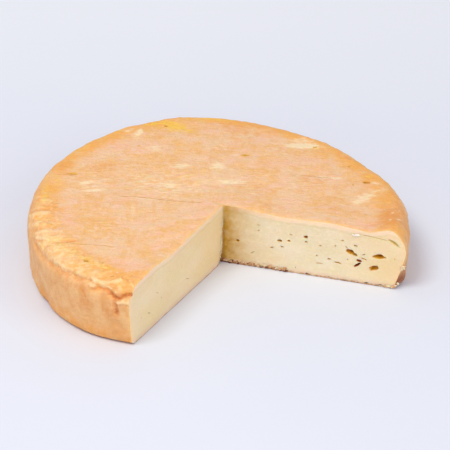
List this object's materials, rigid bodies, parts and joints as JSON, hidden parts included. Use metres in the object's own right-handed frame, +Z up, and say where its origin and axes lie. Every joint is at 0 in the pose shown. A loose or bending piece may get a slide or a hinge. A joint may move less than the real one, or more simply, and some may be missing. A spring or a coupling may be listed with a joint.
{
  "type": "munster cheese",
  "caption": "Flat round washed-rind cheese wheel with a wide wedge cut out, pale paste with small eyes and a wrinkled peach rind.",
  "frame": {"origin": "centre of the wheel on its flat underside", "axes": "+Z up through the wheel's thickness; the cut opens towards -Y, between its left wall that runs to -X -Y and its right wall that runs to +X"},
  "size_m": [0.1883, 0.1858, 0.0352],
  "materials": {
    "cheese": "soft satin washed rind, peach and cream, over pale cream paste"
  },
  "bodies": {
    "root": {"munster_cheese": "cheese"}
  },
  "joints": []
}
